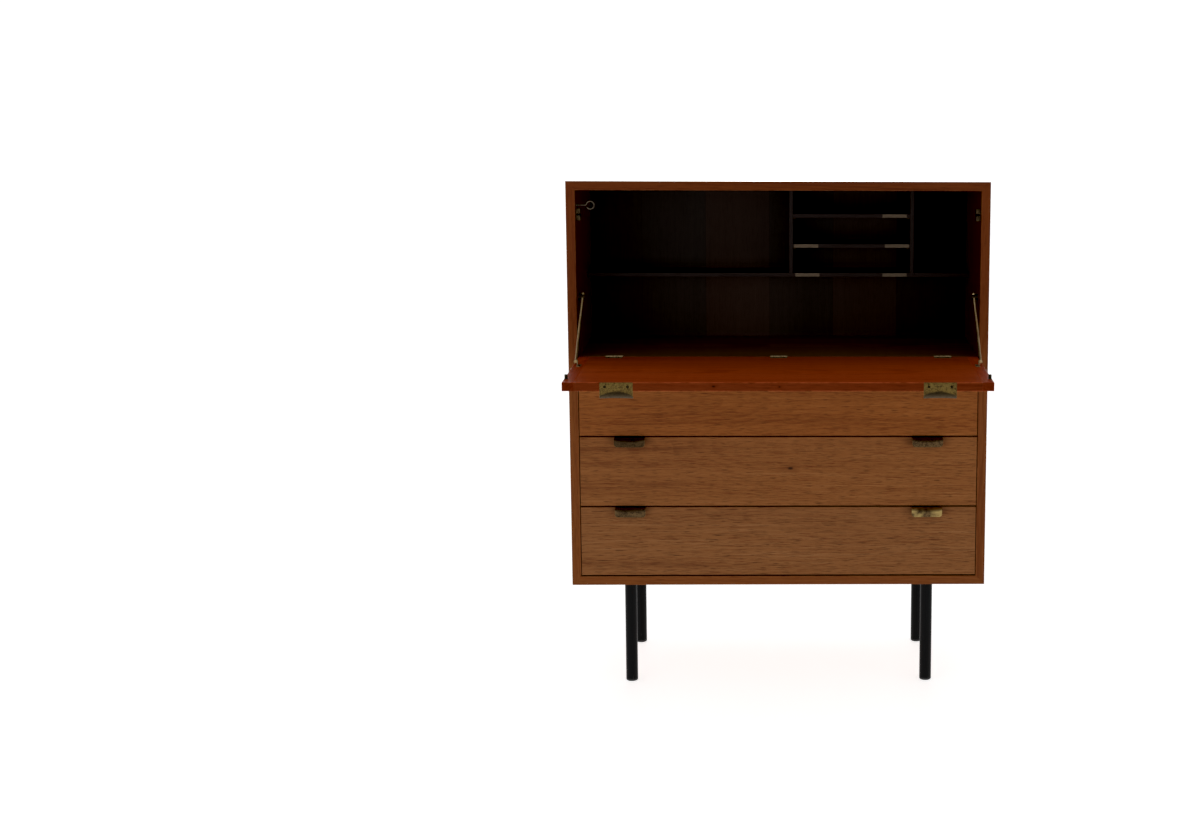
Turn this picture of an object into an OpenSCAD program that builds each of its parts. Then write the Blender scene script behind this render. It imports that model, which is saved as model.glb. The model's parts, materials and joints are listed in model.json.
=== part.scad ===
// Drop-front secretary desk: a mitred teak case on four round steel legs, with three drawers
// below and a fall flap above that opens into the writing surface.
// Millimetres, +Z up. The front faces -Y. The origin lies on the floor, under the middle of the
// desk with its flap open.

/* [Case] */
// Outer width of the case
case_w = 930; // [840:2:1000]
// Outer depth of the case
case_d = 368; // [350:1:420]
// Outer height of the case, without the legs
case_h = 907; // [895:1:940]
// Thickness of the four mitred case panels
panel_t = 20; // [18:1:22]
// Thickness of the back panel
back_t = 6; // [4:1:8]

/* [Legs] */
// Height of the underside of the case above the floor
leg_len = 231; // [200:1:240]
// Diameter of a leg tube
leg_d = 27; // [22:1:30]
// Distance between the left and right legs, centre to centre
leg_spacing_x = 671; // [600:1:720]
// Distance between the front and rear legs, centre to centre
leg_spacing_y = 312; // [270:1:320]

/* [Writing flap] */
// Height of the writing surface above the floor
desk_h = 749; // [740:1:755]
// Thickness of the flap and of the fixed desk floor behind it
flap_t = 18; // [16:1:20]
// Gap between the closed flap and the case around it
flap_gap = 2; // [1.5:0.5:4]
// Width of the end cleats across the flap
cleat_w = 24; // [20:1:30]

/* [Drawers] */
// Gap around each drawer front
drawer_gap = 3; // [2:0.5:4]
// Thickness of a drawer front
front_t = 18; // [16:1:20]
// Depth of a drawer box behind its front
box_d = 320; // [290:5:325]
// Thickness of the drawer sides and back
box_t = 12; // [10:1:14]

/* [Interior] */
// Depth of the shelves and dividers
shelf_d = 105; // [80:5:140]
// Thickness of the shelves and dividers
shelf_t = 9; // [8:1:12]
// Height of the long shelf's top above the writing surface
long_shelf_up = 162; // [150:1:180]
// Position of the left divider, from the middle of the case
divider_left_x = 28.5; // [0:0.5:40]
// Position of the right divider, from the middle of the case
divider_right_x = 309.5; // [290:0.5:330]
// Height of the lower small shelf's middle above the long shelf
lower_shelf_up = 63; // [50:0.5:75]
// Height of the upper small shelf's middle above the long shelf
upper_shelf_up = 132.5; // [115:0.5:150]

/* [Flap stays] */
// Distance of both rod pivots from the hinge line
stay_r = 134; // [125:1:140]
// Height of the swivel eye on the case side above the writing surface
eye_up = 129; // [118:0.5:130]
// Diameter of the stay rod
rod_d = 4.5; // [4:0.5:5]

/* [Fittings] */
// Width of a brass pull
pull_w = 68; // [50:1:90]
// Distance of a pull from the middle of the desk
pull_x = 332; // [250:1:350]
// Length of a hinge
hinge_len = 38; // [30:1:50]
// Distance of the outer hinges from the middle of the desk
hinge_x = 365; // [300:1:380]
// Height of the catches above the writing surface
catch_up = 314.5; // [280:0.5:330]

/* [Hidden] */
$fn = 48;
eps = 0.01;

TEAK = [0.43, 0.24, 0.11];
TEAK_INSIDE = [0.36, 0.19, 0.09];
BEECH = [0.66, 0.48, 0.30];
BRASS = [0.62, 0.50, 0.24];
STEEL = [0.60, 0.60, 0.58];
BLACK = [0.07, 0.07, 0.07];

// Case: inner faces and the levels that everything hangs on
case_top = leg_len + case_h;
inner_x = case_w / 2 - panel_t;
inner_top = case_top - panel_t;
inner_bottom = leg_len + panel_t;
back_recess = 3;
back_y = case_d - back_recess - back_t;
rebate = 8;
housing = 5;

// Hinge line of the flap: the corner between the flap's inner face and the desk floor
hinge_y = flap_t;
hinge_gap = 0.75;
flap_len = inner_top - flap_gap - desk_h;
flap_half_w = inner_x - flap_gap;
free_edge_y = hinge_y - flap_len;
flap_under_z = desk_h - flap_t;
cleat_tongue = 8;
cleat_tongue_t = 6;

// The front of the case in the desk's own frame: the middle of the depth, flap open, is y = 0
front_y = -(case_d + free_edge_y) / 2;

// Drawers: three equal fronts fill the space below the open flap
drawer_pitch = (flap_under_z - inner_bottom - drawer_gap / 2) / 3;
front_h = drawer_pitch - drawer_gap;
front_half_w = inner_x - 1.5;
box_half_w = inner_x - 2;
box_up = 12;
box_h = 120;
box_end_y = front_t + box_d;
front_housing = 6;
bottom_up = 8;
bottom_t = 5;
bottom_groove = 5;
runner_w = 8;
runner_h = 10;
runner_up = 68;
runner_y = [22, back_y - 9];
groove_gap = 0.4;
runner_screw_y = [60, 290];
function drawer_z(i) = inner_bottom + drawer_gap + i * drawer_pitch;

// Shelves and dividers
shelf_y = back_y - shelf_d;
long_shelf_z = desk_h + long_shelf_up;
divider_sink = 3;
small_gap = 0.5;
pin_d = 5;
pin_in = 5;
pin_out = 6;
label_w = 56;
label_h = 7.5;
label_t = 1.2;

// Pull: a plate let into the edge, a quarter bend and a lip
plate_t = 1.5;
pull_bend_r = 6;
pull_out = 16;
pull_lip = 20;
pull_screw_x = 23.5;

// Hinges
leaf_w = 22;
leaf_t = 1.5;
knuckle_r = 2.6;
knuckle_gap = 0.3;
hinge_pin_d = 2.4;
hinge_run = 0.1;
hinge_xs = [-hinge_x, 0, hinge_x];

// Stays: the flap pivot and the swivel eye lie at the same distance from the hinge line, so
// the rod turns through exactly half of the flap's angle
pivot_up = 8;
pivot_y = hinge_y - sqrt(stay_r * stay_r - pivot_up * pivot_up);
pivot_z = desk_h + pivot_up;
eye_y = hinge_y + sqrt(stay_r * stay_r - eye_up * eye_up);
eye_z = desk_h + eye_up;
rod_angle = atan2(eye_z - pivot_z, eye_y - pivot_y);
rod_x = inner_x - 8;
rod_span = norm([eye_y - pivot_y, eye_z - pivot_z]);
rod_eye_r = 4.5;
rod_eye_w = 5;
rod_run = 0.18;
rod_stop_r = 4;
swivel_r = 5.5;
swivel_w = 11;
swivel_pin_d = 5;
bush_d = 8;
bush_in = 8;
ear_t = 1.5;
ear_gap = 0.3;
stay_pin_d = 3;
stay_pin_run = 0.1;
foot_w = 9;
foot_y = [-20, 8];

// Catches: two balls face each other across a slot, and the strike's tongue lies between them
catch_z = desk_h + catch_up;
catch_y = hinge_y + 2;
catch_w = 8;
catch_d = 20;
catch_h = 26;
catch_slot = 5.2;
catch_slot_d = 13;
flange_t = 1.5;
flange_d = 33;
ball_d = 5;
ball_z = 3.9;
ball_y = catch_y + 5;
tongue_w = 6.4;
tongue_l = 9;
tongue_t = 1.4;
bead_d = 2.1;
strike_w = 7.6;
strike_l = 22;
strike_x = flap_half_w - strike_w / 2 - 0.2;

// Cup hook
hook_wire = 2.5;
hook_r = 8.5;
hook_in = 12;
hook_out = 22;
hook_y = 34;
hook_z = desk_h + 334;

// Legs
plate_w = 48;
plate_h = 3;
tube_t = 1.5;
stud_d = 8;
stud_l = 14;
glide_h = 5;
glide_plug = 12;
plate_screw_o = 16;

// Small slotted screws: diameter, length, head
BRASS_SCREW = [2.5, 12, 5];
PULL_SCREW = [3, 14, 6];
RUNNER_SCREW = [3.5, 17, 7];
BACK_SCREW = [3, 12, 6];
PLATE_SCREW = [4, 14, 8];

// ---- Helpers ----
module at_front() translate([0, front_y, 0]) children();

module both_sides() {
    children();
    mirror([1, 0, 0]) children();
}

// A board between two corners
module board(a, b) translate(a) cube([b[0] - a[0], b[1] - a[1], b[2] - a[2]]);

// Outline of a countersunk screw, head up at z = 0; a hole for it has the same outline
module screw_shape(s) rotate_extrude()
    polygon([[0, 0], [s[2] / 2, 0], [s[0] / 2, -(s[2] - s[0]) / 2], [s[0] / 2, -s[1]], [0, -s[1]]]);

module screw(s) difference() {
    screw_shape(s);
    translate([-s[2], -s[2] / 12, -s[2] / 10]) cube([2 * s[2], s[2] / 6, s[2]]);
}

// Turn the local +Z axis, and so a screw's head, to face this way
module facing_left() rotate([0, -90, 0]) children();
module facing_back() rotate([-90, 0, 0]) children();

// ---- Places of the screws, used for the holes and for the screws ----
module at_runner_screws() for (i = [0:2], y = runner_screw_y)
    translate([inner_x - runner_w, y, drawer_z(i) + runner_up]) facing_left() children();

module at_catch_screws() for (z = [-7, 7])
    translate([inner_x - flange_t, catch_y + 27, catch_z + z]) facing_left() children();

module at_case_hinge_screws() for (x = hinge_xs, s = [-1, 1])
    translate([x + s * hinge_len * 0.3, hinge_y + leaf_w * 0.6, desk_h]) children();

module at_flap_hinge_screws() for (x = hinge_xs, s = [-1, 1])
    translate([x + s * hinge_len * 0.3, hinge_y - leaf_w * 0.6, desk_h]) children();

module at_back_screws() for (s = [-1, 1]) {
    for (i = [0:4]) translate([s * (inner_x + rebate / 2), case_d - back_recess,
        inner_bottom + 40 + i * (inner_top - inner_bottom - 80) / 4]) facing_back() children();
    for (i = [0:3]) translate([(i - 1.5) * inner_x * 0.5, case_d - back_recess,
        s < 0 ? inner_bottom - rebate / 2 : inner_top + rebate / 2]) facing_back() children();
}

module at_legs() for (x = [-1, 1], y = [-1, 1])
    translate([x * leg_spacing_x / 2, case_d / 2 + y * leg_spacing_y / 2, 0]) children();

module at_plate_screws() at_legs() for (x = [-1, 1], y = [-1, 1])
    translate([x * plate_screw_o, y * plate_screw_o, leg_len]) mirror([0, 0, 1]) children();

// Pulls and their screws sit on the top edge of a front: y = 0 is its outer face, z = 0 its edge
module at_pulls() for (s = [-1, 1]) translate([s * pull_x, 0, 0]) children();

module at_pull_screws() at_pulls() for (s = [-1, 1])
    translate([s * pull_screw_x, front_t / 2, 0]) children();

module on_flap_edge() translate([0, free_edge_y, flap_under_z]) rotate([90, 0, 0]) children();

module at_strike_screws() for (s = [-1, 1])
    translate([strike_x, hinge_y - catch_up + s * strike_l * 0.33, desk_h]) children();

module at_foot_screws() for (y = [-15, -6])
    translate([rod_x - rod_eye_w / 2 - ear_gap - foot_w + 3, pivot_y + y, desk_h + ear_t]) children();

// ---- Case ----
module back_space() board([-inner_x - rebate, back_y, inner_bottom - rebate],
    [inner_x + rebate, case_d + 1, inner_top + rebate]);

// A case panel as a mitred bar seen from the front
module mitred(points) translate([0, case_d, 0]) rotate([90, 0, 0])
    linear_extrude(case_d) polygon(points);

module side_panel() difference() {
    mitred([[case_w / 2, leg_len], [case_w / 2, case_top], [inner_x, inner_top],
        [inner_x, inner_bottom]]);
    back_space();
    floor_board();
    shelf_board();
    at_runner_screws() screw_shape(RUNNER_SCREW);
    at_catch_screws() screw_shape(BRASS_SCREW);
    at_back_screws() screw_shape(BACK_SCREW);
    translate([inner_x - eps, eye_y, eye_z]) rotate([0, 90, 0]) cylinder(h = bush_in + eps, d = bush_d);
}

module left_side() color(TEAK) at_front() difference() {
    mirror([1, 0, 0]) side_panel();
    translate([-inner_x - hook_in, hook_y, hook_z]) rotate([0, 90, 0])
        cylinder(h = hook_in + 1, d = hook_wire);
}

module right_side() color(TEAK) at_front() side_panel();

module top_panel() color(TEAK) at_front() difference() {
    mitred([[-case_w / 2, case_top], [case_w / 2, case_top], [inner_x, inner_top],
        [-inner_x, inner_top]]);
    back_space();
    at_back_screws() screw_shape(BACK_SCREW);
    for (x = [divider_left_x, divider_right_x]) divider_board(x);
}

module bottom_panel() color(TEAK) at_front() difference() {
    mitred([[-case_w / 2, leg_len], [case_w / 2, leg_len], [inner_x, inner_bottom],
        [-inner_x, inner_bottom]]);
    back_space();
    at_back_screws() screw_shape(BACK_SCREW);
    at_plate_screws() screw_shape(PLATE_SCREW);
    at_legs() translate([0, 0, leg_len - 1]) {
        translate([-plate_w / 2, -plate_w / 2, 0]) cube([plate_w, plate_w, plate_h + 1]);
        cylinder(h = stud_l + 2, d = stud_d + 1);
    }
}

module back_panel() color(TEAK_INSIDE) at_front() difference() {
    board([-inner_x - rebate, back_y, inner_bottom - rebate],
        [inner_x + rebate, back_y + back_t, inner_top + rebate]);
    at_back_screws() screw_shape(BACK_SCREW);
}

module back_screws() color(STEEL) at_front() at_back_screws() screw(BACK_SCREW);

// The fixed writing floor behind the hinge line
module floor_board() board([-inner_x - housing, hinge_y + hinge_gap, flap_under_z],
    [inner_x + housing, back_y, desk_h]);

module desk_floor() color(TEAK) at_front() difference() {
    floor_board();
    hinge_recess(1);
    at_case_hinge_screws() screw_shape(BRASS_SCREW);
}

// ---- Interior ----
module shelf_board() board([-inner_x - housing, shelf_y, long_shelf_z - shelf_t],
    [inner_x + housing, back_y, long_shelf_z]);

module divider_board(x) board([x - shelf_t / 2, shelf_y, long_shelf_z - divider_sink],
    [x + shelf_t / 2, back_y, inner_top + divider_sink]);

module long_shelf() color(TEAK_INSIDE) at_front() difference() {
    shelf_board();
    for (x = [divider_left_x, divider_right_x]) divider_board(x);
}

function small_shelf_z(i) = long_shelf_z + (i > 0 ? upper_shelf_up : lower_shelf_up) - shelf_t / 2;

// Pins point along X; the hole and the pin share one shape
module at_pins() for (i = [0, 1], y = [shelf_y + 20, back_y - 20]) {
    translate([divider_left_x + shelf_t / 2 - pin_in, y, small_shelf_z(i) - pin_d / 2]) children();
    translate([divider_right_x - shelf_t / 2 - pin_out, y, small_shelf_z(i) - pin_d / 2]) children();
}

module pin() rotate([0, 90, 0]) cylinder(h = pin_in + pin_out, d = pin_d);

module divider_left() color(TEAK_INSIDE) at_front() difference() {
    divider_board(divider_left_x);
    at_pins() pin();
}

module divider_right() color(TEAK_INSIDE) at_front() difference() {
    divider_board(divider_right_x);
    at_pins() pin();
}

module small_shelf(i) color(TEAK_INSIDE) at_front()
    board([divider_left_x + shelf_t / 2 + small_gap, shelf_y, small_shelf_z(i)],
        [divider_right_x - shelf_t / 2 - small_gap, back_y - 1, small_shelf_z(i) + shelf_t]);

module small_shelf_lower() small_shelf(0);
module small_shelf_upper() small_shelf(1);
module shelf_pins() color(BRASS) at_front() at_pins() pin();

// A label holder, x from its middle, z at the middle of the shelf edge; its rims hold a card
module label_holder(x, z) translate([x, shelf_y, z]) difference() {
    board([-label_w / 2, -label_t, -label_h / 2], [label_w / 2, 0, label_h / 2]);
    board([-label_w / 2 - 1, -label_t - 1, -label_h / 2 + 1],
        [label_w / 2 + 1, -label_t * 0.5, label_h / 2 - 1]);
}

module label_holders() color(STEEL) at_front() {
    label_holder(divider_right_x - 41, small_shelf_z(1) + shelf_t / 2);
    label_holder(divider_right_x - 35, small_shelf_z(0) + shelf_t / 2);
    label_holder(divider_left_x + 35, small_shelf_z(0) + shelf_t / 2);
    label_holder(divider_right_x - 40, long_shelf_z - shelf_t / 2);
    label_holder(divider_left_x + 38, long_shelf_z - shelf_t / 2);
}

// Cup hook: a shank out of the left side and an open ring, all of one wire
module cup_hook() color(BRASS) at_front() translate([-inner_x, hook_y, hook_z]) {
    translate([-hook_in, 0, 0]) rotate([0, 90, 0]) cylinder(h = hook_in + hook_out, d = hook_wire);
    rotate([0, 90, 0]) cylinder(h = 1.5, d = 9);
    translate([hook_out + hook_r, 0, 0]) rotate([90, 0, 0]) rotate([0, 0, -145])
        rotate_extrude(angle = 325) translate([hook_r, 0]) circle(d = hook_wire);
}

// ---- Catches ----
module catch_body() difference() {
    union() {
        board([inner_x - flange_t - catch_w, catch_y, catch_z - catch_h / 2],
            [inner_x - flange_t + eps, catch_y + catch_d, catch_z + catch_h / 2]);
        board([inner_x - flange_t, catch_y, catch_z - catch_h / 2],
            [inner_x, catch_y + flange_d, catch_z + catch_h / 2]);
    }
    board([inner_x - 20, catch_y - 1, catch_z - catch_slot / 2],
        [inner_x - flange_t, catch_y + catch_slot_d, catch_z + catch_slot / 2]);
    translate([strike_x, ball_y, catch_z - catch_h / 2 + 3]) cylinder(h = catch_h - 6, d = ball_d);
    at_catch_screws() screw_shape(BRASS_SCREW);
}

module catch_bodies() color(BRASS) at_front() both_sides() catch_body();

module catch_balls() color(STEEL) at_front() both_sides() for (s = [-1, 1])
    translate([strike_x, ball_y, catch_z + s * ball_z]) sphere(d = ball_d);

// The strike lies in the flap's inner face; its tongue stands on it, with a bead at the end
module strike() {
    difference() {
        translate([strike_x - strike_w / 2, hinge_y - catch_up - strike_l / 2, desk_h - plate_t])
            cube([strike_w, strike_l, plate_t]);
        at_strike_screws() screw_shape(BRASS_SCREW);
    }
    translate([strike_x - tongue_w / 2, hinge_y - catch_up - tongue_t / 2, desk_h - plate_t])
        cube([tongue_w, tongue_t, tongue_l + plate_t - bead_d / 2]);
    translate([strike_x - tongue_w / 2, hinge_y - catch_up, desk_h + tongue_l - bead_d / 2])
        rotate([0, 90, 0]) cylinder(h = tongue_w, d = bead_d);
}

// The recess is a notch, open at the flap's end
module strike_recess() translate([strike_x - strike_w / 2, hinge_y - catch_up - strike_l / 2,
    desk_h - plate_t]) cube([strike_w + 2, strike_l, plate_t + 1]);

module catch_strikes() color(BRASS) at_front() both_sides() strike();

// ---- Drawers ----
module runner(i) difference() {
    board([inner_x - runner_w, runner_y[0], drawer_z(i) + runner_up - runner_h / 2],
        [inner_x, runner_y[1], drawer_z(i) + runner_up + runner_h / 2]);
    at_runner_screws() screw_shape(RUNNER_SCREW);
}

module drawer_runners() color(BEECH) at_front() both_sides() for (i = [0:2]) runner(i);
module runner_screws() color(STEEL) at_front() both_sides() at_runner_screws() screw(RUNNER_SCREW);

module drawer_side_board() board([box_half_w - box_t, front_t - front_housing, box_up],
    [box_half_w, box_end_y, box_up + box_h]);

module drawer_bottom_board() board([-box_half_w + box_t - bottom_groove, front_t - bottom_groove,
    box_up + bottom_up], [box_half_w - box_t + bottom_groove, box_end_y,
    box_up + bottom_up + bottom_t]);

module drawer_front(i) color(TEAK) at_front() translate([0, 0, drawer_z(i)]) difference() {
    board([-front_half_w, 0, 0], [front_half_w, front_t, front_h]);
    both_sides() drawer_side_board();
    drawer_bottom_board();
    translate([0, 0, front_h]) {
        at_pulls() pull_recess();
        at_pull_screws() screw_shape(PULL_SCREW);
    }
}

module drawer_sides(i) color(BEECH) at_front() translate([0, 0, drawer_z(i)]) both_sides()
    difference() {
        drawer_side_board();
        drawer_bottom_board();
        board([inner_x - runner_w - 0.5, front_t + 2, runner_up - runner_h / 2 - groove_gap],
            [inner_x, box_end_y + 1, runner_up + runner_h / 2 + groove_gap]);
    }

module drawer_back(i) color(BEECH) at_front() translate([0, 0, drawer_z(i)])
    board([-box_half_w + box_t, box_end_y - box_t, box_up + bottom_up + bottom_t],
        [box_half_w - box_t, box_end_y, box_up + box_h]);

module drawer_bottom(i) color(BEECH) at_front() translate([0, 0, drawer_z(i)])
    drawer_bottom_board();

module drawer_pulls(i) color(BRASS) at_front() translate([0, 0, drawer_z(i) + front_h])
    at_pulls() pull();

module drawer_screws(i) color(BRASS) at_front() translate([0, 0, drawer_z(i) + front_h])
    at_pull_screws() screw(PULL_SCREW);

// ---- Pull ----
module pull_recess() board([-pull_w / 2, -1, -plate_t], [pull_w / 2, front_t + 1, 1]);

module pull() difference() {
    union() {
        board([-pull_w / 2, -pull_out + pull_bend_r, -plate_t], [pull_w / 2, front_t, 0]);
        translate([-pull_w / 2, -pull_out + pull_bend_r, -pull_bend_r]) rotate([90, 0, 90])
            rotate([0, 0, 90]) bend();
        board([-pull_w / 2, -pull_out, -pull_lip], [pull_w / 2, -pull_out + plate_t, -pull_bend_r]);
    }
    for (s = [-1, 1]) translate([s * pull_screw_x, front_t / 2, 0]) screw_shape(PULL_SCREW);
}

// Quarter of a tube wall, along the width of the pull
module bend() linear_extrude(pull_w) difference() {
    circle(r = pull_bend_r);
    circle(r = pull_bend_r - plate_t);
    translate([-2 * pull_bend_r, -4 * pull_bend_r]) square(4 * pull_bend_r);
    translate([-4 * pull_bend_r, -2 * pull_bend_r]) square(4 * pull_bend_r);
}

// ---- Hinges ----
// Room for leaf and knuckle: side 1 is the desk floor, side -1 the flap
module hinge_recess(side) for (x = hinge_xs) translate([x - hinge_len / 2, hinge_y, desk_h]) {
    translate([0, side > 0 ? 0 : -leaf_w, -leaf_t]) cube([hinge_len, leaf_w, leaf_t + 1]);
    rotate([0, 90, 0]) cylinder(h = hinge_len, r = knuckle_r + 0.6);
}

function knuckle_edge() = hinge_len / 6;

module knuckle(x0, x1, bore) translate([x0, 0, 0]) rotate([0, 90, 0]) difference() {
    cylinder(h = x1 - x0, r = knuckle_r);
    translate([0, 0, -1]) cylinder(h = x1 - x0 + 2, d = bore);
}

module case_leaf() difference() {
    union() {
        for (s = [0, 1]) mirror([s, 0, 0]) {
            knuckle(knuckle_edge(), hinge_len / 2, hinge_pin_d);
            board([knuckle_edge(), knuckle_r * 0.8, -leaf_t], [hinge_len / 2, leaf_w, 0]);
        }
        board([-hinge_len / 2, knuckle_r + 0.5, -leaf_t], [hinge_len / 2, leaf_w, 0]);
    }
    for (s = [-1, 1]) translate([s * hinge_len * 0.3, leaf_w * 0.6, 0]) screw_shape(BRASS_SCREW);
}

module flap_leaf() difference() {
    union() {
        knuckle(-knuckle_edge() + knuckle_gap, knuckle_edge() - knuckle_gap, hinge_pin_d + hinge_run);
        board([-knuckle_edge() + knuckle_gap, -leaf_w, -leaf_t],
            [knuckle_edge() - knuckle_gap, -knuckle_r * 0.8, 0]);
        board([-hinge_len / 2, -leaf_w, -leaf_t], [hinge_len / 2, -knuckle_r - 0.5, 0]);
    }
    for (s = [-1, 1]) translate([s * hinge_len * 0.3, -leaf_w * 0.6, 0]) screw_shape(BRASS_SCREW);
}

module at_hinges() at_front() for (x = hinge_xs) translate([x, hinge_y, desk_h]) children();

module case_hinge_leaves() color(BRASS) at_hinges() case_leaf();
module flap_hinge_leaves() color(BRASS) at_hinges() flap_leaf();
module hinge_pins() color(BRASS) at_hinges() translate([-hinge_len / 2, 0, 0]) rotate([0, 90, 0])
    cylinder(h = hinge_len, d = hinge_pin_d);

module case_brass_screws() color(BRASS) at_front() {
    at_case_hinge_screws() screw(BRASS_SCREW);
    both_sides() at_catch_screws() screw(BRASS_SCREW);
}

// ---- Flap: a long-grain panel between two end cleats ----
panel_half_w = flap_half_w - cleat_w;
module flap_cuts() {
    hinge_recess(-1);
    both_sides() {
        strike_recess();
        at_strike_screws() screw_shape(BRASS_SCREW);
        at_foot_screws() screw_shape(BRASS_SCREW);
    }
    at_flap_hinge_screws() screw_shape(BRASS_SCREW);
    on_flap_edge() {
        at_pulls() pull_recess();
        at_pull_screws() screw_shape(PULL_SCREW);
    }
}

module panel_tongue() board([-panel_half_w - cleat_tongue, free_edge_y + cleat_tongue,
    desk_h - flap_t / 2 - cleat_tongue_t / 2], [panel_half_w + cleat_tongue,
    hinge_y - hinge_gap - cleat_tongue, desk_h - flap_t / 2 + cleat_tongue_t / 2]);

module flap_panel() color(TEAK) at_front() difference() {
    union() {
        board([-panel_half_w, free_edge_y, flap_under_z], [panel_half_w, hinge_y - hinge_gap, desk_h]);
        panel_tongue();
    }
    flap_cuts();
}

module flap_cleat() difference() {
    board([panel_half_w, free_edge_y, flap_under_z], [flap_half_w, hinge_y - hinge_gap, desk_h]);
    panel_tongue();
    flap_cuts();
}

module flap_cleat_left() color(TEAK) at_front() mirror([1, 0, 0]) flap_cleat();
module flap_cleat_right() color(TEAK) at_front() flap_cleat();
module flap_pulls() color(BRASS) at_front() on_flap_edge() at_pulls() pull();

module flap_brass_screws() color(BRASS) at_front() {
    at_flap_hinge_screws() screw(BRASS_SCREW);
    both_sides() {
        at_strike_screws() screw(BRASS_SCREW);
        at_foot_screws() screw(BRASS_SCREW);
    }
    on_flap_edge() at_pull_screws() screw(PULL_SCREW);
}

// ---- Stays ----
// The bracket's ear stands inboard of the rod and carries a riveted pin
module stay_bracket() {
    ear_x = rod_x - rod_eye_w / 2 - ear_gap;
    difference() {
        board([ear_x - foot_w, pivot_y + foot_y[0], desk_h], [ear_x, pivot_y + foot_y[1], desk_h + ear_t]);
        at_foot_screws() screw_shape(BRASS_SCREW);
    }
    board([ear_x - ear_t, pivot_y - rod_eye_r, desk_h], [ear_x, pivot_y + rod_eye_r, pivot_z]);
    translate([ear_x - ear_t, pivot_y, pivot_z]) rotate([0, 90, 0]) {
        cylinder(h = ear_t, r = rod_eye_r);
        translate([0, 0, -0.8]) cylinder(h = 0.8 + ear_t + rod_eye_w + 2 * ear_gap, d = stay_pin_d);
        translate([0, 0, -0.8]) cylinder(h = 0.8, d = stay_pin_d + 2);
        translate([0, 0, ear_t + rod_eye_w + 2 * ear_gap]) cylinder(h = 1, d = stay_pin_d + 3);
    }
}

module flap_stay_brackets() color(BRASS) at_front() both_sides() stay_bracket();

module stay_rod() translate([rod_x, pivot_y, pivot_z]) rotate([rod_angle, 0, 0]) difference() {
    union() {
        translate([-rod_eye_w / 2, 0, 0]) rotate([0, 90, 0]) cylinder(h = rod_eye_w, r = rod_eye_r);
        facing_back() cylinder(h = rod_span + swivel_r + rod_stop_r + 0.3, d = rod_d);
        translate([0, rod_span + swivel_r + rod_stop_r + 0.3, 0]) sphere(r = rod_stop_r);
    }
    translate([-rod_eye_w, 0, 0]) rotate([0, 90, 0])
        cylinder(h = 2 * rod_eye_w, d = stay_pin_d + stay_pin_run);
}

module stay_rod_left() color(BRASS) at_front() mirror([1, 0, 0]) stay_rod();
module stay_rod_right() color(BRASS) at_front() stay_rod();

// The swivel is a short drum on a pin; the rod slides through its cross bore
module stay_swivel() translate([rod_x, eye_y, eye_z]) rotate([rod_angle, 0, 0]) difference() {
    translate([-swivel_w / 2, 0, 0]) rotate([0, 90, 0]) {
        cylinder(h = swivel_w, r = swivel_r);
        cylinder(h = swivel_w / 2 + inner_x - rod_x + bush_in - 1, d = swivel_pin_d);
    }
    translate([0, -2 * swivel_r, 0]) facing_back() cylinder(h = 4 * swivel_r, d = rod_d + rod_run);
}

module stay_swivel_left() color(BRASS) at_front() mirror([1, 0, 0]) stay_swivel();
module stay_swivel_right() color(BRASS) at_front() stay_swivel();

// Flanged bush that the swivel pin runs in
module stay_bush() translate([inner_x, eye_y, eye_z]) rotate([0, 90, 0]) difference() {
    union() {
        translate([0, 0, -2]) cylinder(h = 2, d = 15);
        cylinder(h = bush_in, d = bush_d);
    }
    translate([0, 0, -3]) cylinder(h = bush_in + 4, d = swivel_pin_d + 0.1);
}

module stay_bushes() color(BRASS) at_front() both_sides() stay_bush();

// ---- Legs ----
module leg_plates() color(STEEL) at_front() difference() {
    at_legs() translate([-plate_w / 2, -plate_w / 2, leg_len]) cube([plate_w, plate_w, plate_h]);
    at_legs() translate([0, 0, leg_len - 1]) cylinder(h = plate_h + 2, d = stud_d);
    at_plate_screws() screw_shape(PLATE_SCREW);
}

module plate_screws() color(STEEL) at_front() at_plate_screws() screw(PLATE_SCREW);

// A closed-top tube with its threaded stud; x and y choose the corner
module leg(x, y) color(BLACK) at_front()
    translate([x * leg_spacing_x / 2, case_d / 2 + y * leg_spacing_y / 2, 0]) {
        difference() {
            translate([0, 0, glide_h]) cylinder(h = leg_len - glide_h, d = leg_d);
            translate([0, 0, glide_h - 1]) cylinder(h = leg_len - glide_h - 3, d = leg_d - 2 * tube_t);
        }
        translate([0, 0, leg_len - 1]) cylinder(h = stud_l + 1, d = stud_d);
    }

module leg_front_left() leg(-1, -1);
module leg_front_right() leg(1, -1);
module leg_rear_left() leg(-1, 1);
module leg_rear_right() leg(1, 1);

// Plastic plug with a rounded foot
module leg_glides() color(BLACK) at_front() at_legs() {
    rotate_extrude() polygon(concat([[0, 0]],
        [for (a = [-90:15:0]) [leg_d / 2 - 2 + 2 * cos(a), 2 + 2 * sin(a)]],
        [[leg_d / 2, glide_h], [0, glide_h]]));
    translate([0, 0, glide_h - eps]) cylinder(h = glide_plug, d = leg_d - 2 * tube_t);
}

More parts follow.
